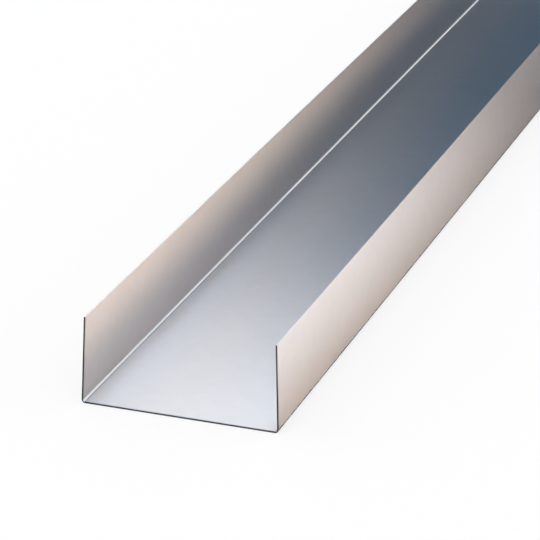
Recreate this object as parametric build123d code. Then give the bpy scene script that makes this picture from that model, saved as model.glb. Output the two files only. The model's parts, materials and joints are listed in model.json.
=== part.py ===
from build123d import *
import math
import os

# A galvanized steel mounting rail: one strip of thin sheet, roll-formed into an open
# channel that lies on its web with both flanges up. The flanges are toed in a little,
# so that they grip what is set between them. The web and the flanges are plain, and
# the ends are cut square.
# X runs along the rail, Y across the web and Z up. The origin is on the web's underside,
# at the middle of the rail's length and width.

# Driving dimensions, in millimetres and degrees
RAIL_LENGTH = 2500.0
WEB_WIDTH = 100.0  # over the outside of the two bends
FLANGE_HEIGHT = 45.0  # from the web's underside up to the free edges
SHEET_THICKNESS = 0.6
INSIDE_BEND_RADIUS = 1.2
TOE_IN = 2.0  # how far each flange leans in from square

NODE_NAME = "mounting_rail"
PARTS_FOLDER = "parts"


def outside_corners(bend_radius):
    """The corners of the section's outside line, as if its bends were sharp, from one
    free edge to the other. The leaning flange puts a sharp corner further out than the
    round bend that replaces it, so the web's half width is measured to the bend."""
    turn = math.radians(90 + TOE_IN)
    half_width = WEB_WIDTH / 2 - bend_radius + bend_radius * math.tan(turn / 2)
    lean = FLANGE_HEIGHT * math.tan(math.radians(TOE_IN))
    return [
        (lean - half_width, FLANGE_HEIGHT),
        (-half_width, 0),
        (half_width, 0),
        (half_width - lean, FLANGE_HEIGHT),
    ]


def strip_section():
    """The bent strip seen from its end: its outside line, and the same line one sheet
    thickness further in."""
    bend_radius = INSIDE_BEND_RADIUS + SHEET_THICKNESS
    with BuildSketch(Plane.YZ) as section:
        with BuildLine():
            FilletPolyline(*outside_corners(bend_radius), radius=bend_radius)
            offset(amount=SHEET_THICKNESS, side=Side.LEFT)
        make_face()
    return section.sketch


def mounting_rail():
    """The whole rail, from one square end to the other."""
    rail = extrude(strip_section(), amount=RAIL_LENGTH / 2, both=True)
    rail.label = NODE_NAME
    return rail


os.makedirs(PARTS_FOLDER, exist_ok=True)
export_step(mounting_rail(), os.path.join(PARTS_FOLDER, NODE_NAME + ".step"))
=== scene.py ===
"""A galvanized steel mounting rail, lying on its web on a plain white floor.

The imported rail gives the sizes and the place. A finer strip with smooth bends and broken
edges stands for it, finished as zinc-coated sheet with bare dark steel where it was sawn off.
"""

import json
import math

import bmesh
import bpy
from bpy.props import FloatProperty, FloatVectorProperty, IntProperty, PointerProperty
from mathutils import Matrix, Vector


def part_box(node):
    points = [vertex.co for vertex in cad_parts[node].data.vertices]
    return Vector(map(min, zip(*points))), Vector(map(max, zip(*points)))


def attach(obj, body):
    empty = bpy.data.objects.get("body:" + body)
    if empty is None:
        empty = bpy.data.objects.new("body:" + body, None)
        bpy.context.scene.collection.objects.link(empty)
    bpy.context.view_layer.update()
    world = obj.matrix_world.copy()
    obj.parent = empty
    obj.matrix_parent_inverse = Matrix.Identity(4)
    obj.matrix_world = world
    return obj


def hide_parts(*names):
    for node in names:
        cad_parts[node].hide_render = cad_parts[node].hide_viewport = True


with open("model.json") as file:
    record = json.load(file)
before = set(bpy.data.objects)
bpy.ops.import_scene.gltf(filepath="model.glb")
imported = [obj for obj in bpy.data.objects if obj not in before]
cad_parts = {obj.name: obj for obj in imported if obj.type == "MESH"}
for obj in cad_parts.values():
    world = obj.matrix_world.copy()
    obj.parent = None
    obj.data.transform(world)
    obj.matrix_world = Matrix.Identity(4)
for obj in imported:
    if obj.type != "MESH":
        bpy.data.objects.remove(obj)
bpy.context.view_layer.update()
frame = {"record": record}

bl_info = {
    "name": "Galvanized Mounting Rail",
    "version": (1, 0, 0),
    "blender": (4, 5, 0),
    "location": "View3D > Sidebar > Mounting Rail",
    "description": "Roll-forms a galvanized steel rail and lays it on a white studio floor",
    "category": "Object",
}

RAIL_NODE = "mounting_rail"
STRIP_MAP = "flat_strip"

# The strip's material slots, in the order in which the rail's materials are added
SHEET, SAWN_END, SLIT_EDGE, PAINTED_SHADE_CREASE, PAINTED_HIGHLIGHT_BEND = range(5)

SAME_PLACE = 1e-6  # points closer together than this, in metres, count as one
SHARP_CORNER = math.radians(60)  # where the skin turns further than this, it is a cut edge
SMOOTH_CORNER = math.radians(35)  # where the skin turns less than this, it is shaded smooth
ORDER_STEP = 1000.0  # how many times more X counts than Y, and Y than Z, in the mesh's order
NOISE_DETAIL = 2.0  # finer layers in each noise texture
NOISE_RANGE = (0.3, 0.7)  # nearly all of a noise texture's values lie in it
LEVEL_RIGHT, LEVEL_LEFT = -90.0, 90.0  # where the end screen's colours start and end, in degrees
SENSOR_WIDTH = 36.0  # the camera's, in millimetres
WHITE = (1.0, 1.0, 1.0, 1.0)

LOW_CORNER, HIGH_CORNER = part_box(RAIL_NODE)
MOUNTS = {mount["name"]: mount for mount in frame["record"]["mounts"]}


class RailSizes(bpy.types.PropertyGroup):
    """The strip's section and length. The frame gives all that it states."""

    length: FloatProperty(
        name="Length",
        description="From one square end to the other",
        default=HIGH_CORNER.x - LOW_CORNER.x,
        unit="LENGTH",
    )
    web_width: FloatProperty(
        name="Web Width",
        description="Over the outside of the two bends",
        default=HIGH_CORNER.y - LOW_CORNER.y,
        unit="LENGTH",
    )
    flange_height: FloatProperty(
        name="Flange Height",
        description="From the web's underside up to the free edges",
        default=HIGH_CORNER.z - LOW_CORNER.z,
        unit="LENGTH",
    )
    sheet_thickness: FloatProperty(
        name="Sheet Thickness",
        description="Thickness of the strip",
        default=MOUNTS["web_inside"]["pos_m"][2] - MOUNTS["web_underside"]["pos_m"][2],
        unit="LENGTH",
        precision=5,
    )
    toe_in: FloatProperty(
        name="Toe-in",
        description="How far each flange leans in from square",
        default=math.asin(MOUNTS["flange_outside_left"]["axis"][2]),
        subtype="ANGLE",
    )
    bend_radius: FloatProperty(
        name="Outside Bend Radius",
        description="Radius of the outside of each bend",
        default=0.0018,
        unit="LENGTH",
        precision=5,
    )
    bend_steps: IntProperty(
        name="Bend Steps",
        description="Flat steps that make up each bend",
        default=12,
        min=4,
    )
    length_cuts: IntProperty(
        name="Length Cuts",
        description="Cuts across the strip, evenly spaced along it",
        default=49,
        min=0,
    )
    edge_break: FloatProperty(
        name="Edge Break",
        description="Width of the small bevel on every cut edge",
        default=0.00006,
        unit="LENGTH",
        precision=6,
    )
    break_steps: IntProperty(
        name="Break Steps",
        description="Flat steps that make up the small bevel",
        default=2,
        min=1,
    )


class ZincFinish(bpy.types.PropertyGroup):
    """Colours and grain of the zinc coat, of the bends and of the cut edges, and the painted shade
    and painted highlight inside the bends.
    """

    zinc: FloatVectorProperty(
        name="Zinc",
        description="Colour of the zinc coat",
        default=(0.80, 0.80, 0.81),
        subtype="COLOR",
        min=0.0,
        max=1.0,
    )
    roughness: FloatProperty(
        name="Roughness",
        description="Roughness of the flat sheet",
        default=0.375,
        min=0.0,
        max=1.0,
    )
    bend_roughness: FloatProperty(
        name="Bend Roughness",
        description="Roughness of the bends, which the forming rolls have burnished",
        default=0.20,
        min=0.0,
        max=1.0,
    )
    roll_grain: FloatProperty(
        name="Roll Grain",
        description="How much the lines along the sheet spread its highlights across it",
        default=1.0,
        min=0.0,
        max=1.0,
    )
    line_width: FloatProperty(
        name="Roll Line Width",
        description="Width of the fine lines that the rolls leave along the sheet",
        default=0.0004,
        unit="LENGTH",
        precision=5,
    )
    line_length: FloatProperty(
        name="Roll Line Length",
        description="Length of the fine lines that the rolls leave along the sheet",
        default=0.08,
        unit="LENGTH",
    )
    grain_depth: FloatProperty(
        name="Grain Depth",
        description="How far the lines raise and lower the roughness",
        default=0.02,
        min=0.0,
        max=1.0,
    )
    spangle_size: FloatProperty(
        name="Spangle Size",
        description="Size of the zinc's flat crystals",
        default=0.007,
        unit="LENGTH",
    )
    spangle_contrast: FloatProperty(
        name="Spangle Contrast",
        description="How much darker the darkest crystal is than the lightest",
        default=0.02,
        min=0.0,
        max=1.0,
    )
    # Painted highlight: between this start and the end below, the inside of each bend is coloured
    # near white, standing in for the light the bend catches
    highlight_start: FloatProperty(
        name="Press Start",
        description="How far round each bend, from the web, its pressed zinc begins",
        default=math.radians(22),
        subtype="ANGLE",
    )
    highlight_end: FloatProperty(
        name="Press End",
        description="How far round each bend, from the web, its pressed zinc ends",
        default=math.radians(77),
        subtype="ANGLE",
    )
    # Painted shade: this dark bluish colour on the crease between the web and each bend's inside
    # stands in for the shade there
    painted_crease_shade: FloatVectorProperty(
        name="Creased Zinc",
        description="Colour of the zinc in the crease between the web and each bend's inside",
        default=(0.27, 0.39, 0.55),
        subtype="COLOR",
        min=0.0,
        max=1.0,
    )
    # Painted highlight: a near-white, non-metal colour inside the bends
    painted_bend_highlight: FloatVectorProperty(
        name="Pressed Zinc",
        description="Colour of the zinc inside the bends, whitened where the rolls pressed it",
        default=(0.96, 0.98, 1.0),
        subtype="COLOR",
        min=0.0,
        max=1.0,
    )
    # Roughness of the painted highlight inside the bends
    highlight_roughness: FloatProperty(
        name="Press Roughness",
        description="Roughness of the pressed zinc inside the bends",
        default=0.5,
        min=0.0,
        max=1.0,
    )
    cut_steel: FloatVectorProperty(
        name="Cut Steel",
        description="Colour of the steel where the rail was sawn off",
        default=(0.02, 0.036, 0.038),
        subtype="COLOR",
        min=0.0,
        max=1.0,
    )
    cut_shine: FloatProperty(
        name="Cut Shine",
        description="How far the sawn steel shines as bare metal does",
        default=0.6,
        min=0.0,
        max=1.0,
    )
    cut_roughness: FloatProperty(
        name="Cut Roughness",
        description="Roughness of the sawn steel",
        default=0.5,
        min=0.0,
        max=1.0,
    )
    burnt_width: FloatProperty(
        name="Burnt Width",
        description="How far from each end the saw has darkened the zinc",
        default=0.0013,
        unit="LENGTH",
        precision=5,
    )
    slit_edge: FloatVectorProperty(
        name="Slit Edge",
        description="Colour of the flanges' free edges, where the strip was slit",
        default=(0.80, 0.83, 0.86),
        subtype="COLOR",
        min=0.0,
        max=1.0,
    )
    roughness_swing: FloatProperty(
        name="Roughness Swing",
        description="How far the roughness wanders inside the bends and on the free edges",
        default=0.05,
        min=0.0,
        max=1.0,
    )
    cut_swing: FloatProperty(
        name="Cut Swing",
        description="How far the roughness wanders on the sawn ends",
        default=0.1,
        min=0.0,
        max=1.0,
    )
    bend_mark: FloatProperty(
        name="Bend Mark",
        description="Size of the marks that the rolls left inside the bends",
        default=1 / 300,
        unit="LENGTH",
    )
    slit_mark: FloatProperty(
        name="Slit Mark",
        description="Size of the marks that the slitting knife left on the free edges",
        default=1 / 700,
        unit="LENGTH",
        precision=5,
    )
    saw_mark: FloatProperty(
        name="Saw Mark",
        description="Size of the marks that the saw left on the two ends",
        default=1 / 900,
        unit="LENGTH",
        precision=5,
    )


class RailStudio(bpy.types.PropertyGroup):
    """The floor, the light and the camera."""

    floor_size: FloatProperty(
        name="Floor Size",
        description="Length of the floor's side",
        default=400.0,
        unit="LENGTH",
    )
    floor_gap: FloatProperty(
        name="Floor Gap",
        description="How far the floor lies below the web's underside",
        default=0.0001,
        unit="LENGTH",
        precision=5,
    )
    floor_white: FloatProperty(
        name="Floor White",
        description="How much of the light the floor gives back",
        default=0.8,
        min=0.0,
        max=1.0,
    )
    floor_glow: FloatProperty(
        name="Floor Glow",
        description="Light of the floor's own, which makes it a plain white",
        default=0.215,
        min=0.0,
    )
    floor_veil: FloatProperty(
        name="Floor Veil",
        description="How far plain white covers the floor that is seen, which thins its shadows",
        default=0.6,
        min=0.0,
        max=1.0,
    )
    tent: FloatVectorProperty(
        name="Tent",
        description="Colour of the plain light all round",
        default=(0.97, 0.97, 0.98),
        subtype="COLOR",
        min=0.0,
        max=1.0,
    )
    screen_gap: FloatProperty(
        name="Screen Gap",
        description="How far the end screen stands beyond the rail's far end",
        default=0.5,
        unit="LENGTH",
    )
    screen_reach: FloatProperty(
        name="Screen Reach",
        description="How far the end screen reaches to each side and upwards",
        default=5.0,
        unit="LENGTH",
    )
    screen_heart: FloatVectorProperty(
        name="Screen Heart",
        description="Colour of the end screen's dark round middle",
        default=(0.0, 0.056, 0.12),
        subtype="COLOR",
        min=0.0,
        max=1.0,
    )
    heart_start: FloatProperty(
        name="Heart Start",
        description="Radius at which the end screen's dark middle begins to lighten",
        default=1.54,
        unit="LENGTH",
    )
    heart_end: FloatProperty(
        name="Heart End",
        description="Radius at which the end screen's dark middle has ended",
        default=1.66,
        unit="LENGTH",
    )
    heart_right: FloatVectorProperty(
        name="Heart Right",
        description="Colour of the end screen's dark round middle, on the right",
        default=(0.14, 0.06, 0.0),
        subtype="COLOR",
        min=0.0,
        max=1.0,
    )
    heart_turn: FloatVectorProperty(
        name="Heart Turn",
        description="Where the dark middle's right colour ends and its own begins, in degrees "
        "from upright, left positive",
        default=(-68.0, -40.0),
        size=2,
    )
    heart_core: FloatVectorProperty(
        name="Heart Core",
        description="Colour of the dark middle's own middle, which the rail mirrors from low down",
        default=(0.45, 0.48, 0.52),
        subtype="COLOR",
        min=0.0,
        max=1.0,
    )
    core_full: FloatProperty(
        name="Core Full",
        description="Radius up to which the end screen has its core's colour",
        default=0.45,
        unit="LENGTH",
    )
    core_end: FloatProperty(
        name="Core End",
        description="Radius at which the core's colour has ended",
        default=0.85,
        unit="LENGTH",
    )
    screen_power: FloatProperty(
        name="Screen Power",
        description="What the end screen's colours are multiplied by, all but its dark middle",
        default=9.0,
        min=0.0,
    )
    rim_power: FloatProperty(
        name="Rim Power",
        description="What the end screen's colours are multiplied by outside its inner ring",
        default=7.8,
        min=0.0,
    )
    rim_start: FloatProperty(
        name="Rim Start",
        description="Radius at which the end screen's power starts to change to its rim's",
        default=1.65,
        unit="LENGTH",
    )
    rim_full: FloatProperty(
        name="Rim Full",
        description="Radius from which the end screen has its rim's power",
        default=1.95,
        unit="LENGTH",
    )
    right: FloatVectorProperty(
        name="Right",
        description="The end screen's colour on the right, as a share of its power",
        default=(0.05, 0.022, 0.003),
        subtype="COLOR",
        min=0.0,
        max=1.0,
    )
    top: FloatVectorProperty(
        name="Top",
        description="The end screen's colour straight above, as a share of its power",
        default=(0.535, 0.655, 0.78),
        subtype="COLOR",
        min=0.0,
        max=1.0,
    )
    left: FloatVectorProperty(
        name="Left",
        description="The end screen's colour on the left, as a share of its power",
        default=(0.10, 0.08, 0.065),
        subtype="COLOR",
        min=0.0,
        max=1.0,
    )
    right_end: FloatProperty(
        name="Right End",
        description="Where the right's colour ends, in degrees from upright, left positive",
        default=-14.5,
    )
    top_start: FloatProperty(
        name="Top Start",
        description="Where the top's colour begins, in degrees from upright, left positive",
        default=-5.0,
    )
    top_end: FloatProperty(
        name="Top End",
        description="Where the top's colour ends, in degrees from upright, left positive",
        default=1.0,
    )
    left_start: FloatProperty(
        name="Left Start",
        description="Where the left's colour begins, in degrees from upright, left positive",
        default=18.0,
    )
    low_lamp: FloatVectorProperty(
        name="Low Lamp",
        description="Colour of the lamp low on the end screen's right, as a share of its power",
        default=(0.84, 0.665, 0.51),
        subtype="COLOR",
        min=0.0,
        max=1.0,
    )
    lamp_edges: FloatVectorProperty(
        name="Lamp Edges",
        description="Heights above the floor, in degrees, at which the low lamp starts, is full, "
        "begins to fade and ends",
        default=(0.0, 8.0, 15.3, 21.7),
        size=4,
    )
    lamp_start: FloatProperty(
        name="Lamp Start",
        description="Radius at which the low lamp begins",
        default=1.05,
        unit="LENGTH",
    )
    lamp_full: FloatProperty(
        name="Lamp Full",
        description="Radius from which the low lamp is full",
        default=1.32,
        unit="LENGTH",
    )
    shade_lift: FloatProperty(
        name="Shade Lift",
        description="How far the shade lies above the floor",
        default=0.00005,
        unit="LENGTH",
        precision=6,
    )
    shade_tuck: FloatProperty(
        name="Shade Tuck",
        description="How far the shade reaches under the rail",
        default=0.0015,
        unit="LENGTH",
        precision=5,
    )
    shade_reach: FloatProperty(
        name="Shade Reach",
        description="How far the shade reaches from the flange and past the rail's ends",
        default=0.5,
        unit="LENGTH",
    )
    shade_fade: FloatProperty(
        name="Shade Fade",
        description="Width over which the shade fades out at its outer side",
        default=0.375,
        unit="LENGTH",
    )
    foot_width: FloatProperty(
        name="Foot Width",
        description="Width of the shade's dark band along the foot of the flange",
        default=0.125,
        unit="LENGTH",
    )
    foot_depth: FloatProperty(
        name="Foot Depth",
        description="How much of the floor the dark band covers at the flange's foot",
        default=1.0,
        min=0.0,
        max=1.0,
    )
    shade_start: FloatProperty(
        name="Shade Start",
        description="Where along the rail the shade begins",
        default=-0.9,
        unit="LENGTH",
    )
    shade_full: FloatProperty(
        name="Shade Full",
        description="Where along the rail the shade is deepest",
        default=-0.70,
        unit="LENGTH",
    )
    shade_depth: FloatProperty(
        name="Shade Depth",
        description="How much of the floor the shade covers where it is deepest",
        default=1.0,
        min=0.0,
        max=1.0,
    )
    shade_color: FloatVectorProperty(
        name="Shade Colour",
        description="Colour of the shade that lies on the floor beside the right flange",
        default=(0.0, 0.05, 0.12),
        subtype="COLOR",
        min=0.0,
        max=1.0,
    )
    floor_lift: FloatVectorProperty(
        name="Floor Lift",
        description="Light that the floor beside the right flange gives the rail besides its white",
        default=(0.45, 0.65, 0.88),
        subtype="COLOR",
        min=0.0,
        max=1.0,
    )
    lift_fade: FloatProperty(
        name="Lift Fade",
        description="Width over which the floor's lift fades out at the shade's outer side",
        default=0.1,
        unit="LENGTH",
    )
    lens: FloatProperty(
        name="Lens",
        description="Focal length on a 36 mm sensor, in millimetres",
        default=195.14,
    )
    camera_ahead: FloatProperty(
        name="Camera Ahead",
        description="How far the camera stands in front of the rail's near end",
        default=1.190,
        unit="LENGTH",
    )
    camera_aside: FloatProperty(
        name="Camera Aside",
        description="How far the camera stands to the right of the web's middle line",
        default=0.4431,
        unit="LENGTH",
    )
    camera_height: FloatProperty(
        name="Camera Height",
        description="Height of the camera above the floor",
        default=0.5829,
        unit="LENGTH",
    )
    camera_turn: FloatProperty(
        name="Camera Turn",
        description="How far the camera looks to the left of the rail's line",
        default=math.radians(18.517),
        subtype="ANGLE",
    )
    camera_tilt: FloatProperty(
        name="Camera Tilt",
        description="How far the camera looks down",
        default=math.radians(21.746),
        subtype="ANGLE",
    )
    camera_roll: FloatProperty(
        name="Camera Roll",
        description="How far the camera is rolled about its own line of sight",
        default=math.radians(-0.933),
        subtype="ANGLE",
    )


def deselect_objects():
    bpy.ops.object.select_all(action="DESELECT")


def select_only(thing):
    deselect_objects()
    thing.select_set(True)
    bpy.context.view_layer.objects.active = thing


def select_edges(thing, test):
    """Selects the edges for which test(first end, second end) holds, and nothing else."""
    bpy.ops.mesh.select_mode(type="EDGE")
    bpy.ops.mesh.select_all(action="DESELECT")
    mesh = bmesh.from_edit_mesh(thing.data)
    for edge in mesh.edges:
        edge.select_set(test(edge.verts[0].co, edge.verts[1].co))
    bmesh.update_edit_mesh(thing.data)


def apply_modifier(thing, kind, **settings):
    """Adds a modifier with these settings and applies it."""
    modifier = thing.modifiers.new(kind.title(), kind)
    for name, value in settings.items():
        setattr(modifier, name, value)
    select_only(thing)
    bpy.ops.object.modifier_apply(modifier=modifier.name)


def settle_order(thing):
    """Puts the corners, edges and faces in the same order each run: by X, then Y, then Z."""

    def place(middle):
        return (middle.x * ORDER_STEP + middle.y) * ORDER_STEP + middle.z

    mesh = bmesh.new()
    mesh.from_mesh(thing.data)
    mesh.verts.sort(key=lambda corner: place(corner.co))
    mesh.edges.sort(key=lambda edge: place((edge.verts[0].co + edge.verts[1].co) / 2))
    mesh.faces.sort(key=lambda face: place(face.calc_center_median()))
    mesh.to_mesh(thing.data)
    mesh.free()


def flat_half_width(sizes):
    """Half the width of the web's flat part, between the two bends."""
    return sizes.web_width / 2 - sizes.bend_radius


def bend_turn(sizes):
    """The angle that each bend turns through."""
    return math.radians(90) + sizes.toe_in


def roll_half_strip(sizes):
    """The outside skin of the strip's left half: half the web, one bend and one flange."""
    flat_half = flat_half_width(sizes)
    turn = bend_turn(sizes)

    deselect_objects()
    bpy.ops.mesh.primitive_plane_add(size=1)
    strip = bpy.context.object
    bpy.ops.object.mode_set(mode="EDIT")
    bpy.ops.mesh.select_all(action="SELECT")
    bpy.ops.transform.resize(value=(sizes.length, flat_half, 1))
    bpy.ops.transform.translate(value=(0, flat_half / 2, 0))

    if sizes.length_cuts:
        select_edges(strip, lambda a, b: abs(a.y - b.y) < SAME_PLACE)
        bpy.ops.mesh.subdivide(number_cuts=sizes.length_cuts)

    select_edges(strip, lambda a, b: min(a.y, b.y) > flat_half - SAME_PLACE)
    bpy.ops.mesh.spin(
        steps=sizes.bend_steps,
        angle=turn,
        center=(0, flat_half, sizes.bend_radius),
        axis=(-1, 0, 0),
    )

    bend_top = sizes.bend_radius * (1 - math.cos(turn))
    rise = sizes.flange_height - bend_top
    lean = rise / math.tan(turn)
    bpy.ops.mesh.extrude_region_move(TRANSFORM_OT_translate={"value": (0, lean, rise)})
    bpy.ops.object.mode_set(mode="OBJECT")
    settle_order(strip)
    return strip


def point_skin_outwards(strip):
    """Merges the two halves and turns every face of the skin away from the channel."""
    select_only(strip)
    bpy.ops.object.mode_set(mode="EDIT")
    bpy.ops.mesh.select_all(action="SELECT")
    bpy.ops.mesh.remove_doubles(threshold=SAME_PLACE)
    bpy.ops.mesh.normals_make_consistent(inside=False)
    bpy.ops.object.mode_set(mode="OBJECT")
    web_face = min(strip.data.polygons, key=lambda face: face.center.z)
    if web_face.normal.z > 0:
        bpy.ops.object.mode_set(mode="EDIT")
        bpy.ops.mesh.select_all(action="SELECT")
        bpy.ops.mesh.flip_normals()
        bpy.ops.object.mode_set(mode="OBJECT")


def model_rail(sizes, finish):
    """The whole strip: mirrored, given its thickness, and its cut edges broken."""
    strip = roll_half_strip(sizes)
    apply_modifier(
        strip,
        "MIRROR",
        use_axis=(False, True, False),
        use_mirror_merge=True,
        merge_threshold=SAME_PLACE,
    )
    point_skin_outwards(strip)
    apply_modifier(
        strip, "SOLIDIFY", thickness=sizes.sheet_thickness, offset=-1.0, use_even_offset=True
    )
    apply_modifier(
        strip,
        "BEVEL",
        width=sizes.edge_break,
        segments=sizes.break_steps,
        limit_method="ANGLE",
        angle_limit=SHARP_CORNER,
    )
    mark_faces(strip, sizes, finish)
    select_only(strip)
    bpy.ops.object.shade_smooth_by_angle(angle=SMOOTH_CORNER)
    apply_modifier(strip, "WEIGHTED_NORMAL", mode="FACE_AREA", weight=100, keep_sharp=True)
    unroll_strip(strip, sizes)
    strip.name = "rolled_rail"
    strip.data.name = "rolled_rail"
    return strip


def mark_faces(strip, sizes, finish):
    """Gives the two sawn ends, the flanges' free edges and, inside each bend, the crease at the web,
    which carries a painted shade, and the band above it, which carries a painted highlight, their own
    material slots. The rest stays zinc sheet."""
    end = sizes.length / 2 - sizes.edge_break
    edge = sizes.flange_height - 2 * sizes.edge_break
    mid_sheet = sizes.bend_radius - sizes.sheet_thickness / 2
    for face in strip.data.polygons:
        aside = abs(face.center.y) - flat_half_width(sizes)
        above = face.center.z - sizes.bend_radius
        round_bend = math.atan2(aside, -above)
        if abs(face.center.x) > end:
            face.material_index = SAWN_END
        elif face.center.z > edge:
            face.material_index = SLIT_EDGE
        elif math.hypot(aside, above) < mid_sheet and 0 < round_bend < finish.highlight_end:
            face.material_index = PAINTED_SHADE_CREASE if round_bend < finish.highlight_start else PAINTED_HIGHLIGHT_BEND


def place_on_flat_strip(y, z, sizes):
    """How far a point of the section lies from the web's middle line, measured along the
    strip as it was before it was bent."""
    flat_half = flat_half_width(sizes)
    turn = bend_turn(sizes)
    aside = abs(y) - flat_half
    above = z - sizes.bend_radius
    up_flange = aside * math.cos(turn) + above * math.sin(turn)
    if above > 0 and up_flange > 0:
        return math.copysign(flat_half + sizes.bend_radius * turn + up_flange, y)
    if aside <= 0:
        return y
    return math.copysign(flat_half + sizes.bend_radius * math.atan2(aside, -above), y)


def unroll_strip(strip, sizes):
    """Keeps each corner's place on the flat strip, in metres: U across it and V along it. The
    free edges' own narrow faces have no place on it, and are mapped from above."""
    places = strip.data.uv_layers.active or strip.data.uv_layers.new()
    places.name = STRIP_MAP
    for face in strip.data.polygons:
        from_above = face.material_index == SLIT_EDGE
        for index in face.loop_indices:
            corner = strip.data.vertices[strip.data.loops[index].vertex_index].co
            across = corner.y if from_above else place_on_flat_strip(corner.y, corner.z, sizes)
            places.data[index].uv = (across, corner.x)


def add_node(tree, kind, inputs, out=0, **settings):
    """Adds a node with these settings and gives one of its outputs. Each input is linked if
    its value is a socket, and set if not."""
    node = tree.nodes.new(kind)
    for name, value in settings.items():
        setattr(node, name, value)
    for key, value in inputs.items():
        if isinstance(value, bpy.types.NodeSocket):
            tree.links.new(value, node.inputs[key])
        else:
            node.inputs[key].default_value = value
    return node.outputs[out]


def new_shader(name, color, metallic, roughness):
    """A new material with its node tree and its principled shader's inputs."""
    material = bpy.data.materials.new(name)
    material.use_nodes = True
    inputs = material.node_tree.nodes["Principled BSDF"].inputs
    inputs["Base Color"].default_value = (*color, 1.0)
    inputs["Metallic"].default_value = metallic
    inputs["Roughness"].default_value = roughness
    return material, material.node_tree, inputs


def calculate(tree, operation, *values):
    """A sum, product or other function of one to three values."""
    return add_node(tree, "ShaderNodeMath", dict(enumerate(values)), operation=operation)


def remap(tree, value, source, target=(0.0, 1.0), interpolation="LINEAR"):
    """Turns a value that runs over the source range into one that runs over the target range."""
    return add_node(
        tree,
        "ShaderNodeMapRange",
        {0: value, 1: source[0], 2: source[1], 3: target[0], 4: target[1]},
        interpolation_type=interpolation,
    )


def ease(tree, value, source, target=(0.0, 1.0)):
    """Does what remap does, with a soft start and a soft end."""
    return remap(tree, value, source, target, "SMOOTHSTEP")


def mix_colors(tree, share, first, second):
    """The first colour where the share is nought, the second where it is one."""
    return add_node(
        tree, "ShaderNodeMix", {0: share, 6: first, 7: second}, out=2, data_type="RGBA"
    )


def shine(tree, color, strength=1.0):
    """A shader that gives off light of this colour."""
    return add_node(tree, "ShaderNodeEmission", {"Color": color, "Strength": strength})


def bend_mask(tree, across, sizes):
    """One on the two bends, and nought on the flat sheet."""
    bend_half = sizes.bend_radius * bend_turn(sizes) / 2
    bend_middle = flat_half_width(sizes) + bend_half
    off_middle = calculate(tree, "ABSOLUTE", across)
    return calculate(tree, "COMPARE", off_middle, bend_middle, bend_half)


def run_grain_along(tree, shader, finish):
    """Spreads the highlights across the strip, as its lines run along it."""
    tangent = add_node(tree, "ShaderNodeTangent", {}, direction_type="UV_MAP", uv_map=STRIP_MAP)
    tree.links.new(tangent, shader["Tangent"])
    shader["Anisotropic"].default_value = finish.roll_grain


def zinc_material(finish, sizes):
    """Zinc-coated sheet: faint flat crystals, fine lines along the strip, burnished bends."""
    material, tree, shader = new_shader("galvanized_sheet", finish.zinc, 1.0, finish.roughness)
    place = add_node(tree, "ShaderNodeUVMap", {}, uv_map=STRIP_MAP)
    across = add_node(tree, "ShaderNodeSeparateXYZ", {0: place}, out="X")
    along = across.node.outputs["Y"]
    crystals = add_node(
        tree,
        "ShaderNodeTexVoronoi",
        {"Vector": place, "Scale": 1 / finish.spangle_size},
        out="Color",
        voronoi_dimensions="2D",
    )
    crystal = add_node(tree, "ShaderNodeSeparateColor", {0: crystals})
    stretched = add_node(
        tree,
        "ShaderNodeMapping",
        {"Vector": place, "Scale": (1 / finish.line_width, 1 / finish.line_length, 1)},
    )
    lines = add_node(
        tree,
        "ShaderNodeTexNoise",
        {"Vector": stretched, "Scale": 1.0, "Detail": NOISE_DETAIL},
        noise_dimensions="2D",
    )

    dull_zinc = [channel * (1 - finish.spangle_contrast) for channel in finish.zinc]
    sheet_color = mix_colors(tree, crystal, (*dull_zinc, 1.0), (*finish.zinc, 1.0))
    end = sizes.length / 2
    from_middle = calculate(tree, "ABSOLUTE", along)
    burnt = ease(tree, from_middle, (end - finish.burnt_width, end))
    color = mix_colors(tree, burnt, sheet_color, (*finish.cut_steel, 1.0))
    tree.links.new(color, shader["Base Color"])

    rough_range = (finish.roughness - finish.grain_depth, finish.roughness + finish.grain_depth)
    flat_roughness = remap(tree, lines, NOISE_RANGE, rough_range)
    roughness = add_node(
        tree,
        "ShaderNodeMix",
        {0: bend_mask(tree, across, sizes), 2: flat_roughness, 3: finish.bend_roughness},
        data_type="FLOAT",
    )
    tree.links.new(roughness, shader["Roughness"])

    run_grain_along(tree, shader, finish)
    return material


def make_uneven(tree, shader, mark_size, low, high):
    """Lets the roughness wander between low and high, in marks of this size."""
    place = add_node(tree, "ShaderNodeTexCoord", {}, out="Object")
    marks = add_node(
        tree,
        "ShaderNodeTexNoise",
        {"Vector": place, "Scale": 1 / mark_size, "Detail": NOISE_DETAIL},
    )
    tree.links.new(remap(tree, marks, NOISE_RANGE, (low, high)), shader["Roughness"])


def painted_crease_shade_material(finish):
    """A painted shade: the dark bluish line where the web meets the bend."""
    material, tree, shader = new_shader("painted_crease_shade", finish.painted_crease_shade, 1.0, finish.roughness)
    roughest = finish.roughness + finish.roughness_swing
    make_uneven(tree, shader, finish.bend_mark, finish.roughness, roughest)
    run_grain_along(tree, shader, finish)
    return material


def painted_bend_highlight_material(finish):
    """A painted highlight: the matt bright line inside each bend, near white and not metal."""
    middle, swing = finish.highlight_roughness, finish.roughness_swing
    material, tree, shader = new_shader("painted_bend_highlight", finish.painted_bend_highlight, 0.0, middle)
    make_uneven(tree, shader, finish.bend_mark, middle - swing, middle + swing)
    return material


def cut_steel_material(finish):
    """Bare dark steel, a little uneven from the saw."""
    middle, swing = finish.cut_roughness, finish.cut_swing
    material, tree, shader = new_shader("sawn_steel", finish.cut_steel, finish.cut_shine, middle)
    make_uneven(tree, shader, finish.saw_mark, middle - swing, middle + swing)
    return material


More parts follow.
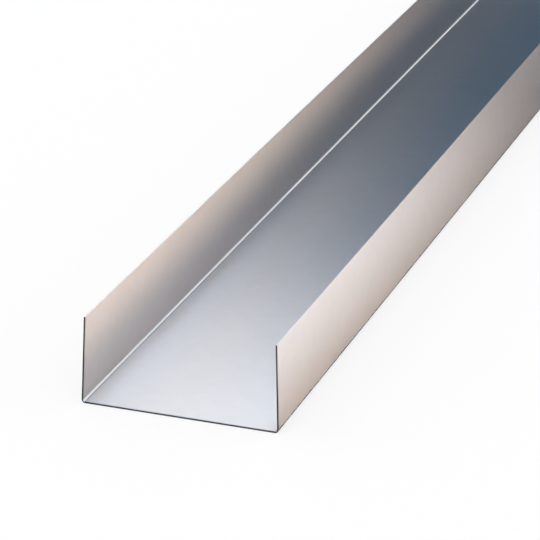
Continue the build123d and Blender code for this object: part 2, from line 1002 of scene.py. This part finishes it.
def slit_edge_material(finish):
    """The narrow bare band that the slitting knife left."""
    middle, swing = finish.roughness, finish.roughness_swing
    material, tree, shader = new_shader("slit_edge", finish.slit_edge, 1.0, middle)
    make_uneven(tree, shader, finish.slit_mark, middle - swing, middle + swing)
    run_grain_along(tree, shader, finish)
    return material


def flat_panel(name, low, high):
    """A flat panel between two opposite corners that share one coordinate."""
    middle = (low + high) / 2
    span = high - low
    upright = span.x == 0
    deselect_objects()
    bpy.ops.mesh.primitive_plane_add(
        size=1, location=middle, rotation=(0, math.radians(90) if upright else 0, 0)
    )
    panel = bpy.context.object
    panel.name = name
    panel.scale = (span.z if upright else span.x, span.y, 1)
    bpy.ops.object.transform_apply(location=True, rotation=True, scale=True)
    return panel


def show_in_reflections_only(panel):
    panel.visible_camera = False
    panel.visible_diffuse = False
    panel.visible_transmission = False
    panel.visible_shadow = False


def glow_material(name):
    """A material with no shader yet, its node tree and its output."""
    material = bpy.data.materials.new(name)
    material.use_nodes = True
    material.node_tree.nodes.clear()
    output = material.node_tree.nodes.new("ShaderNodeOutputMaterial")
    return material, material.node_tree, output.inputs["Surface"]


def color_fan(tree, around, studio):
    """The end screen's colours round its middle, from level right over the top to level left."""
    colors = (
        (studio.right_end, studio.right),
        (studio.top_start, studio.top),
        (studio.top_end, studio.top),
        (studio.left_start, studio.left),
    )
    fan = tree.nodes.new("ShaderNodeValToRGB")
    tree.links.new(remap(tree, around, (LEVEL_RIGHT, LEVEL_LEFT)), fan.inputs[0])
    ramp = fan.color_ramp
    ramp.interpolation = "EASE"
    ramp.elements.remove(ramp.elements[1])
    ramp.elements[0].color = (*studio.right, 1.0)
    for angle, color in colors:
        place = (angle - LEVEL_RIGHT) / (LEVEL_LEFT - LEVEL_RIGHT)
        ramp.elements.new(place).color = (*color, 1.0)
    return fan.outputs[0]


def low_lamp_mask(tree, around, from_middle, studio):
    """One where the low lamp shines, and nought elsewhere."""
    start, full, fade, end = (LEVEL_RIGHT + edge for edge in studio.lamp_edges)
    above_floor = ease(tree, around, (start, full))
    below_top = ease(tree, around, (fade, end), (1.0, 0.0))
    off_middle = ease(tree, from_middle, (studio.lamp_start, studio.lamp_full))
    band = calculate(tree, "MULTIPLY", above_floor, below_top)
    return calculate(tree, "MULTIPLY", band, off_middle)


def heart_color(tree, around, from_middle, studio):
    """The colours of the end screen's round middle: its own, its right's and its core's."""
    on_right = ease(tree, around, studio.heart_turn, (1.0, 0.0))
    heart = mix_colors(tree, on_right, (*studio.screen_heart, 1.0), (*studio.heart_right, 1.0))
    off_core = ease(tree, from_middle, (studio.core_full, studio.core_end))
    return mix_colors(tree, off_core, (*studio.heart_core, 1.0), heart)


def hang_end_screen(studio):
    """A screen beyond the far end, dark in its round middle, that the rail mirrors."""
    far = HIGH_CORNER.x + studio.screen_gap
    reach = studio.screen_reach
    screen = flat_panel("end_screen", Vector((far, -reach, 0)), Vector((far, reach, reach)))
    show_in_reflections_only(screen)
    material, tree, surface = glow_material("end_screen")
    place = add_node(tree, "ShaderNodeTexCoord", {}, out="Object")
    aside = add_node(tree, "ShaderNodeSeparateXYZ", {0: place}, out="Y")
    above = aside.node.outputs["Z"]
    around = calculate(tree, "DEGREES", calculate(tree, "ARCTAN2", aside, above))
    from_middle = add_node(
        tree, "ShaderNodeVectorMath", {0: place, 1: (far, 0, 0)}, out="Value", operation="DISTANCE"
    )
    lightened = ease(tree, from_middle, (studio.heart_start, studio.heart_end))
    power = ease(
        tree,
        from_middle,
        (studio.rim_start, studio.rim_full),
        (studio.screen_power, studio.rim_power),
    )
    dark = shine(tree, heart_color(tree, around, from_middle, studio))
    lit = shine(tree, color_fan(tree, around, studio), power)
    fan = add_node(tree, "ShaderNodeMixShader", {0: lightened, 1: dark, 2: lit})
    lamp_mask = low_lamp_mask(tree, around, from_middle, studio)
    lamp = shine(tree, (*studio.low_lamp, 1.0), calculate(tree, "MULTIPLY", lamp_mask, power))
    glow = add_node(tree, "ShaderNodeAddShader", {0: fan, 1: lamp})
    tree.links.new(glow, surface)
    screen.data.materials.append(material)


def lay_floor_shade(studio):
    """A soft shade on the floor along the right flange, that only the rail mirrors."""
    reach = studio.shade_reach
    level = LOW_CORNER.z - studio.floor_gap + studio.shade_lift
    low = Vector((LOW_CORNER.x - reach, LOW_CORNER.y - reach, level))
    high = Vector((HIGH_CORNER.x + reach, LOW_CORNER.y + studio.shade_tuck, level))
    shade = flat_panel("floor_shade", low, high)
    show_in_reflections_only(shade)
    material, tree, surface = glow_material("floor_shade")
    place = add_node(tree, "ShaderNodeTexCoord", {}, out="Object")
    along = add_node(tree, "ShaderNodeSeparateXYZ", {0: place}, out="X")
    aside = along.node.outputs["Y"]
    foot = LOW_CORNER.y
    beside = ease(tree, aside, (foot - studio.foot_width, foot), (0.0, studio.foot_depth))
    fade_in = ease(
        tree, along, (studio.shade_start, studio.shade_full), (0.0, studio.shade_depth)
    )
    fade_out = ease(tree, along, (studio.shade_full, HIGH_CORNER.x), (1.0, 0.0))
    fade_aside = ease(tree, aside, (low.y, low.y + studio.shade_fade))
    deep = calculate(tree, "MULTIPLY", calculate(tree, "MULTIPLY", fade_in, fade_out), fade_aside)
    cover = calculate(tree, "MAXIMUM", beside, deep)
    clear = add_node(tree, "ShaderNodeBsdfTransparent", {})
    fade_lift = ease(tree, aside, (low.y, low.y + studio.lift_fade))
    lift = shine(tree, (*studio.floor_lift, 1.0), fade_lift)
    lifted = add_node(tree, "ShaderNodeAddShader", {0: clear, 1: lift})
    dark = shine(tree, (*studio.shade_color, 1.0))
    glow = add_node(tree, "ShaderNodeMixShader", {0: cover, 1: lifted, 2: dark})
    tree.links.new(glow, surface)
    shade.data.materials.append(material)


def lay_floor(studio):
    """A white floor that gives back the light and glows a little of its own. What the camera
    and the rail's mirrored light see of it is partly plain white, so its shadows are faint."""
    half = studio.floor_size / 2
    level = LOW_CORNER.z - studio.floor_gap
    floor = flat_panel("floor", Vector((-half, -half, level)), Vector((half, half, level)))
    white = (studio.floor_white,) * 3
    material, tree, shader = new_shader("floor", white, 0.0, 1.0)
    shader["Specular IOR Level"].default_value = 0.0
    shader["Emission Color"].default_value = WHITE
    shader["Emission Strength"].default_value = studio.floor_glow
    rays = tree.nodes.new("ShaderNodeLightPath").outputs
    seen = calculate(tree, "MAXIMUM", rays["Is Camera Ray"], rays["Is Glossy Ray"])
    veil = calculate(tree, "MULTIPLY", seen, studio.floor_veil)
    lit = tree.nodes["Principled BSDF"].outputs[0]
    plain = shine(tree, WHITE)
    veiled = add_node(tree, "ShaderNodeMixShader", {0: veil, 1: lit, 2: plain})
    tree.links.new(veiled, tree.nodes["Material Output"].inputs["Surface"])
    floor.data.materials.append(material)


def light_tent(studio):
    """Plain light all round."""
    world = bpy.data.worlds.new("tent")
    world.use_nodes = True
    world.node_tree.nodes["Background"].inputs["Color"].default_value = (*studio.tent, 1.0)
    bpy.context.scene.world = world


def place_camera(studio):
    """Stands the camera before the near end, with its three directions worked out from its turn,
    tilt and roll."""
    turn, tilt, roll = studio.camera_turn, studio.camera_tilt, studio.camera_roll
    forward = Vector(
        (math.cos(turn) * math.cos(tilt), math.sin(turn) * math.cos(tilt), -math.sin(tilt))
    )
    level_right = Vector((math.sin(turn), -math.cos(turn), 0))
    level_down = forward.cross(level_right)
    right = level_right * math.cos(roll) + level_down * math.sin(roll)
    up = level_right * math.sin(roll) - level_down * math.cos(roll)
    camera = bpy.data.objects.new("camera", bpy.data.cameras.new("camera"))
    bpy.context.scene.collection.objects.link(camera)
    place = (LOW_CORNER.x - studio.camera_ahead, -studio.camera_aside, studio.camera_height)
    facing = Matrix((right, up, -forward)).transposed().to_4x4()
    camera.matrix_world = Matrix.Translation(place) @ facing
    camera.data.sensor_width = SENSOR_WIDTH
    camera.data.lens = studio.lens
    camera.data.clip_end = studio.floor_size
    bpy.context.scene.camera = camera


class OBJECT_OT_roll_mounting_rail(bpy.types.Operator):
    """Models the rail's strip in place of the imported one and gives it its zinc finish"""

    bl_idname = "object.roll_mounting_rail"
    bl_label = "Mounting Rail"

    def execute(self, context):
        sizes, finish = context.scene.rail_sizes, context.scene.zinc_finish
        rail = model_rail(sizes, finish)
        materials = {
            SHEET: zinc_material(finish, sizes),
            SAWN_END: cut_steel_material(finish),
            SLIT_EDGE: slit_edge_material(finish),
            PAINTED_SHADE_CREASE: painted_crease_shade_material(finish),
            PAINTED_HIGHLIGHT_BEND: painted_bend_highlight_material(finish),
        }
        for slot in sorted(materials):
            rail.data.materials.append(materials[slot])
        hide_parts(RAIL_NODE)
        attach(rail, "root")
        return {"FINISHED"}


class SCENE_OT_set_rail_studio(bpy.types.Operator):
    """Sets the floor, the light and the camera"""

    bl_idname = "scene.set_rail_studio"
    bl_label = "Studio"

    def execute(self, context):
        studio = context.scene.rail_studio
        context.scene.view_settings.view_transform = "Standard"
        place_camera(studio)
        light_tent(studio)
        lay_floor(studio)
        lay_floor_shade(studio)
        hang_end_screen(studio)
        return {"FINISHED"}


class VIEW3D_PT_mounting_rail(bpy.types.Panel):
    """Lists the rail's sizes, its finish and its studio, and the buttons that make them"""

    bl_label = "Mounting Rail"
    bl_idname = "VIEW3D_PT_mounting_rail"
    bl_space_type = "VIEW_3D"
    bl_region_type = "UI"
    bl_category = "Mounting Rail"

    def draw(self, context):
        for group in (context.scene.rail_sizes, context.scene.zinc_finish, context.scene.rail_studio):
            for name in group.__annotations__:
                self.layout.prop(group, name)
        self.layout.operator(OBJECT_OT_roll_mounting_rail.bl_idname)
        self.layout.operator(SCENE_OT_set_rail_studio.bl_idname)


CLASSES = (
    RailSizes,
    ZincFinish,
    RailStudio,
    OBJECT_OT_roll_mounting_rail,
    SCENE_OT_set_rail_studio,
    VIEW3D_PT_mounting_rail,
)


def register():
    for cls in CLASSES:
        bpy.utils.register_class(cls)
    bpy.types.Scene.rail_sizes = PointerProperty(type=RailSizes)
    bpy.types.Scene.zinc_finish = PointerProperty(type=ZincFinish)
    bpy.types.Scene.rail_studio = PointerProperty(type=RailStudio)


def unregister():
    del bpy.types.Scene.rail_studio
    del bpy.types.Scene.zinc_finish
    del bpy.types.Scene.rail_sizes
    for cls in reversed(CLASSES):
        bpy.utils.unregister_class(cls)


def main():
    register()
    bpy.ops.object.roll_mounting_rail()
    bpy.ops.scene.set_rail_studio()


if __name__ == "__main__":
    main()
